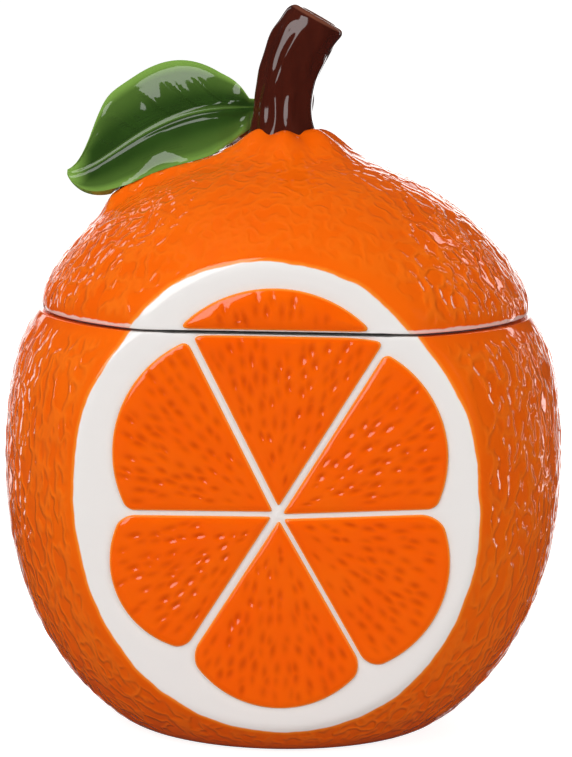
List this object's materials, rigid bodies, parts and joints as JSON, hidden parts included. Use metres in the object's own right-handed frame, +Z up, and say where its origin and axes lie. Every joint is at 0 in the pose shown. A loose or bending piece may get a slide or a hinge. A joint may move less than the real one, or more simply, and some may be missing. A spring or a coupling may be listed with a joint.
{
  "type": "ceramic storage jar",
  "caption": "Orange-shaped glazed ceramic storage jar with a flat sliced front in relief, and a lift-off domed lid with a stem handle, a leaf and a silicone seal.",
  "frame": {"origin": "centre of the foot, on the surface that the jar stands on", "axes": "+Z up along the axis of the mouth, -Y out of the flat slice, +X to the right of a person who looks at the slice"},
  "size_m": [0.165, 0.1449, 0.2128],
  "materials": {
    "orange_glaze": "gloss",
    "brown_glaze": "gloss",
    "green_glaze": "gloss",
    "silicone": "satin"
  },
  "bodies": {
    "jar": {"jar_body": "orange_glaze"},
    "seal": {"seal_ring": "silicone"},
    "lid": {"lid_shell": "orange_glaze", "stem_handle": "brown_glaze", "leaf": "green_glaze"}
  },
  "joints": [
    {"name": "lid_lift", "type": "slide", "parent": "jar", "child": "seal", "axis": [0, 0, 1], "range_m": [0, 0.1]},
    {"name": "lid_turn", "type": "hinge", "parent": "seal", "child": "lid", "pos_m": [0, 0, 0.1236], "axis": [0, 0, 1], "continuous": true}
  ]
}
